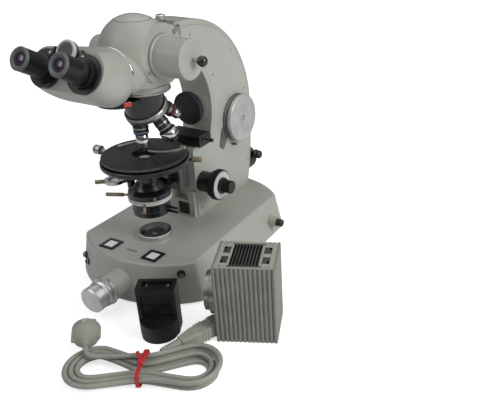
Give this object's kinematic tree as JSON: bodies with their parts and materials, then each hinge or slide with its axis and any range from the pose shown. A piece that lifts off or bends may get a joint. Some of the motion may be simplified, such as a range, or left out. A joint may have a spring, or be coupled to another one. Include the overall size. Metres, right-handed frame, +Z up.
{
  "type": "photomicroscope",
  "caption": "Upright camera microscope with a curved arm, rotating stage, inclined binocular and objective turret, with its lamp housing, lead and film cassette set beside it.",
  "frame": {"origin": "on the optical axis at the table surface, under the objective in use", "axes": "+Z up along the optical axis, -Y towards the observer and the eyepieces, +X to the observer's right"},
  "size_m": [0.3833, 0.5493, 0.405],
  "materials": {
    "aluminium": "turned aluminium",
    "black_lacquer": "semi-gloss black lacquer",
    "button": "milky translucent plastic",
    "cap_enamel": "semi-gloss pale grey enamel",
    "chrome": "polished chrome",
    "enamel": "semi-gloss warm grey enamel",
    "glass": "polished glass",
    "grey_knob": "pale grey moulded plastic",
    "lead": "pale grey flexible sheath",
    "mirror": "silvered glass",
    "plate": "plain painted sheet",
    "plug": "pale grey moulded plastic",
    "rubber": "matte black rubber",
    "satin_black": "satin black anodised metal",
    "steel": "brushed steel"
  },
  "bodies": {
    "stand": {"base_housing": "enamel", "base_plate": "plate", "rubber_feet": "rubber", "base_mirror": "mirror", "field_lens": "glass", "base_fittings": "satin_black", "front_tube": "satin_black", "arm_casting": "enamel", "side_covers": "enamel", "guide_block": "satin_black", "focus_bearings": "enamel", "port_barrel": "chrome", "slider_housing": "satin_black", "selector_drum": "satin_black", "rear_mount": "satin_black", "clamp_band": "chrome", "head_housing": "enamel", "head_cap": "cap_enamel", "side_cylinder": "enamel", "changer_ring": "chrome", "nosepiece_housing": "black_lacquer", "binocular_body": "enamel"},
    "field_ring": {"field_ring": "satin_black"},
    "left_button": {"left_button": "button"},
    "right_button": {"right_button": "button"},
    "front_knob": {"front_knob": "aluminium"},
    "side_knob": {"side_knob": "satin_black"},
    "coarse_focus": {"coarse_focus": "grey_knob"},
    "fine_focus": {"fine_focus": "grey_knob"},
    "left_clip": {"left_clip": "steel"},
    "right_clip": {"right_clip": "steel"},
    "aperture_ring": {"aperture_ring": "aluminium"},
    "swing_lens": {"swing_lens": "steel"},
    "changer_wheel": {"changer_wheel": "satin_black"},
    "beam_rod": {"beam_rod": "chrome"},
    "port_cap": {"port_cap": "black_lacquer"},
    "filter_slider": {"filter_slider": "satin_black"},
    "selector_disc": {"selector_disc": "aluminium"},
    "rear_knob": {"rear_knob": "satin_black"},
    "clamp_screw": {"clamp_screw": "chrome"},
    "pupil_dial": {"pupil_dial": "black_lacquer"},
    "left_carrier": {"left_carrier": "satin_black"},
    "right_carrier": {"right_carrier": "satin_black"},
    "left_eyepiece": {"left_eyepiece": "satin_black"},
    "right_eyepiece": {"right_eyepiece": "satin_black"},
    "stage_support": {"stage_bracket": "satin_black", "stage_ring": "black_lacquer"},
    "stage_table": {"stage_plate": "satin_black"},
    "condenser": {"condenser_bracket": "black_lacquer", "condenser_body": "black_lacquer"},
    "nosepiece": {"turret": "black_lacquer", "objectives": "black_lacquer"},
    "lamp_house": {"lamp_housing": "enamel", "lamp_grille": "cap_enamel", "lamp_flange": "chrome", "lamp_bulb": "glass", "mains_coupler": "lead", "lead_hank": "lead", "mains_plug": "plug"},
    "cassette": {"film_cassette": "satin_black"}
  },
  "joints": [
    {"name": "field_diaphragm", "type": "hinge", "parent": "stand", "child": "field_ring", "pos_m": [0, 0, 0.07], "axis": [0, 0, 1], "range_deg": [0, 90]},
    {"name": "left_button_press", "type": "slide", "parent": "stand", "child": "left_button", "axis": [0, 0, -1], "range_m": [0, 0.0015], "stiffness_N_per_m": 300, "springref_m": -0.002},
    {"name": "right_button_press", "type": "slide", "parent": "stand", "child": "right_button", "axis": [0, 0, -1], "range_m": [0, 0.0015], "stiffness_N_per_m": 300, "springref_m": -0.002},
    {"name": "front_control", "type": "hinge", "parent": "stand", "child": "front_knob", "pos_m": [0, -0.12, 0.032], "axis": [0, -1, 0], "range_deg": [0, 300]},
    {"name": "side_control", "type": "hinge", "parent": "stand", "child": "side_knob", "pos_m": [0.124, 0.175, 0.03], "axis": [1, 0, 0], "range_deg": [0, 270]},
    {"name": "stage_height", "type": "slide", "parent": "stand", "child": "stage_support", "axis": [0, 0, 1], "range_m": [-0.022, 0.001]},
    {"name": "coarse_drive", "type": "hinge", "parent": "stand", "child": "coarse_focus", "pos_m": [0, 0.097, 0.124], "axis": [1, 0, 0], "range_deg": [-6, 107]},
    {"name": "fine_drive", "type": "hinge", "parent": "stand", "child": "fine_focus", "pos_m": [0, 0.097, 0.124], "axis": [1, 0, 0], "range_deg": [-900, 900]},
    {"name": "stage_rotation", "type": "hinge", "parent": "stage_support", "child": "stage_table", "pos_m": [0, 0, 0.2], "axis": [0, 0, 1], "continuous": true},
    {"name": "right_clip_turn", "type": "hinge", "parent": "stage_table", "child": "right_clip", "pos_m": [0.041, 0.04, 0.206], "axis": [0, 0, 1], "range_deg": [-25, 40]},
    {"name": "left_clip_turn", "type": "hinge", "parent": "stage_table", "child": "left_clip", "pos_m": [-0.047, 0.002, 0.206], "axis": [0, 0, 1], "range_deg": [-60, 15]},
    {"name": "condenser_height", "type": "slide", "parent": "stage_support", "child": "condenser", "axis": [0, 0, 1], "range_m": [-0.01, 0]},
    {"name": "aperture_lever", "type": "hinge", "parent": "condenser", "child": "aperture_ring", "pos_m": [0, 0, 0.1345], "axis": [0, 0, 1], "range_deg": [-20, 20]},
    {"name": "swing_lens_turn", "type": "hinge", "parent": "condenser", "child": "swing_lens", "pos_m": [-0.037, 0.002, 0.1545], "axis": [0, 0, 1], "range_deg": [-60, 30]},
    {"name": "turret_turn", "type": "hinge", "parent": "stand", "child": "nosepiece", "pos_m": [0, 0, 0.305], "axis": [0, 0.4384, -0.8988], "continuous": true},
    {"name": "changer_turn", "type": "hinge", "parent": "stand", "child": "changer_wheel", "pos_m": [-0.012, -0.022, 0.29075], "axis": [0, 0, 1], "continuous": true},
    {"name": "beam_slide", "type": "slide", "parent": "stand", "child": "beam_rod", "axis": [1, 0, 0], "range_m": [0, 0.015]},
    {"name": "port_cap_pull", "type": "slide", "parent": "stand", "child": "port_cap", "axis": [0, -1, 0], "range_m": [0, 0.02]},
    {"name": "filter_slide", "type": "slide", "parent": "stand", "child": "filter_slider", "axis": [1, 0, 0], "range_m": [0, 0.02]},
    {"name": "selector_turn", "type": "hinge", "parent": "stand", "child": "selector_disc", "pos_m": [0.04, 0.2075, 0.201], "axis": [1, 0, 0], "continuous": true},
    {"name": "rear_clamp_turn", "type": "hinge", "parent": "stand", "child": "rear_knob", "pos_m": [0.03, 0.264, 0.11], "axis": [1, 0, 0], "range_deg": [0, 720]},
    {"name": "head_clamp_turn", "type": "hinge", "parent": "stand", "child": "clamp_screw", "pos_m": [0, 0.072, 0.395], "axis": [0, 0, 1], "range_deg": [0, 360]},
    {"name": "pupil_distance", "type": "hinge", "parent": "stand", "child": "pupil_dial", "pos_m": [0, -0.1044, 0.37592], "axis": [0, -0.866, 0.5], "range_deg": [-100, 100]},
    {"name": "left_carrier_slide", "type": "slide", "parent": "stand", "child": "left_carrier", "axis": [-1, 0, 0], "range_m": [-0.005, 0.005]},
    {"name": "right_carrier_slide", "type": "slide", "parent": "stand", "child": "right_carrier", "axis": [1, 0, 0], "range_m": [-0.005, 0.005]},
    {"name": "left_eyepiece_turn", "type": "hinge", "parent": "left_carrier", "child": "left_eyepiece", "pos_m": [-0.0315, -0.13668, 0.368], "axis": [0, 0.866, -0.5], "continuous": true},
    {"name": "right_eyepiece_turn", "type": "hinge", "parent": "right_carrier", "child": "right_eyepiece", "pos_m": [0.0315, -0.13668, 0.368], "axis": [0, 0.866, -0.5], "continuous": true},
    {"name": "lamp_house_lift", "type": "slide", "parent": "stand", "child": "lamp_house", "axis": [0, 0, 1], "range_m": [0, 0.15]},
    {"name": "cassette_lift", "type": "slide", "parent": "stand", "child": "cassette", "axis": [0, 0, 1], "range_m": [0, 0.15]}
  ],
  "couplings": [
    {"joint": "coarse_drive", "follows": "stage_height", "rad_per_m": -83.333},
    {"joint": "left_carrier_slide", "follows": "pupil_distance", "m_per_rad": 0.0028},
    {"joint": "right_carrier_slide", "follows": "pupil_distance", "m_per_rad": 0.0028}
  ]
}
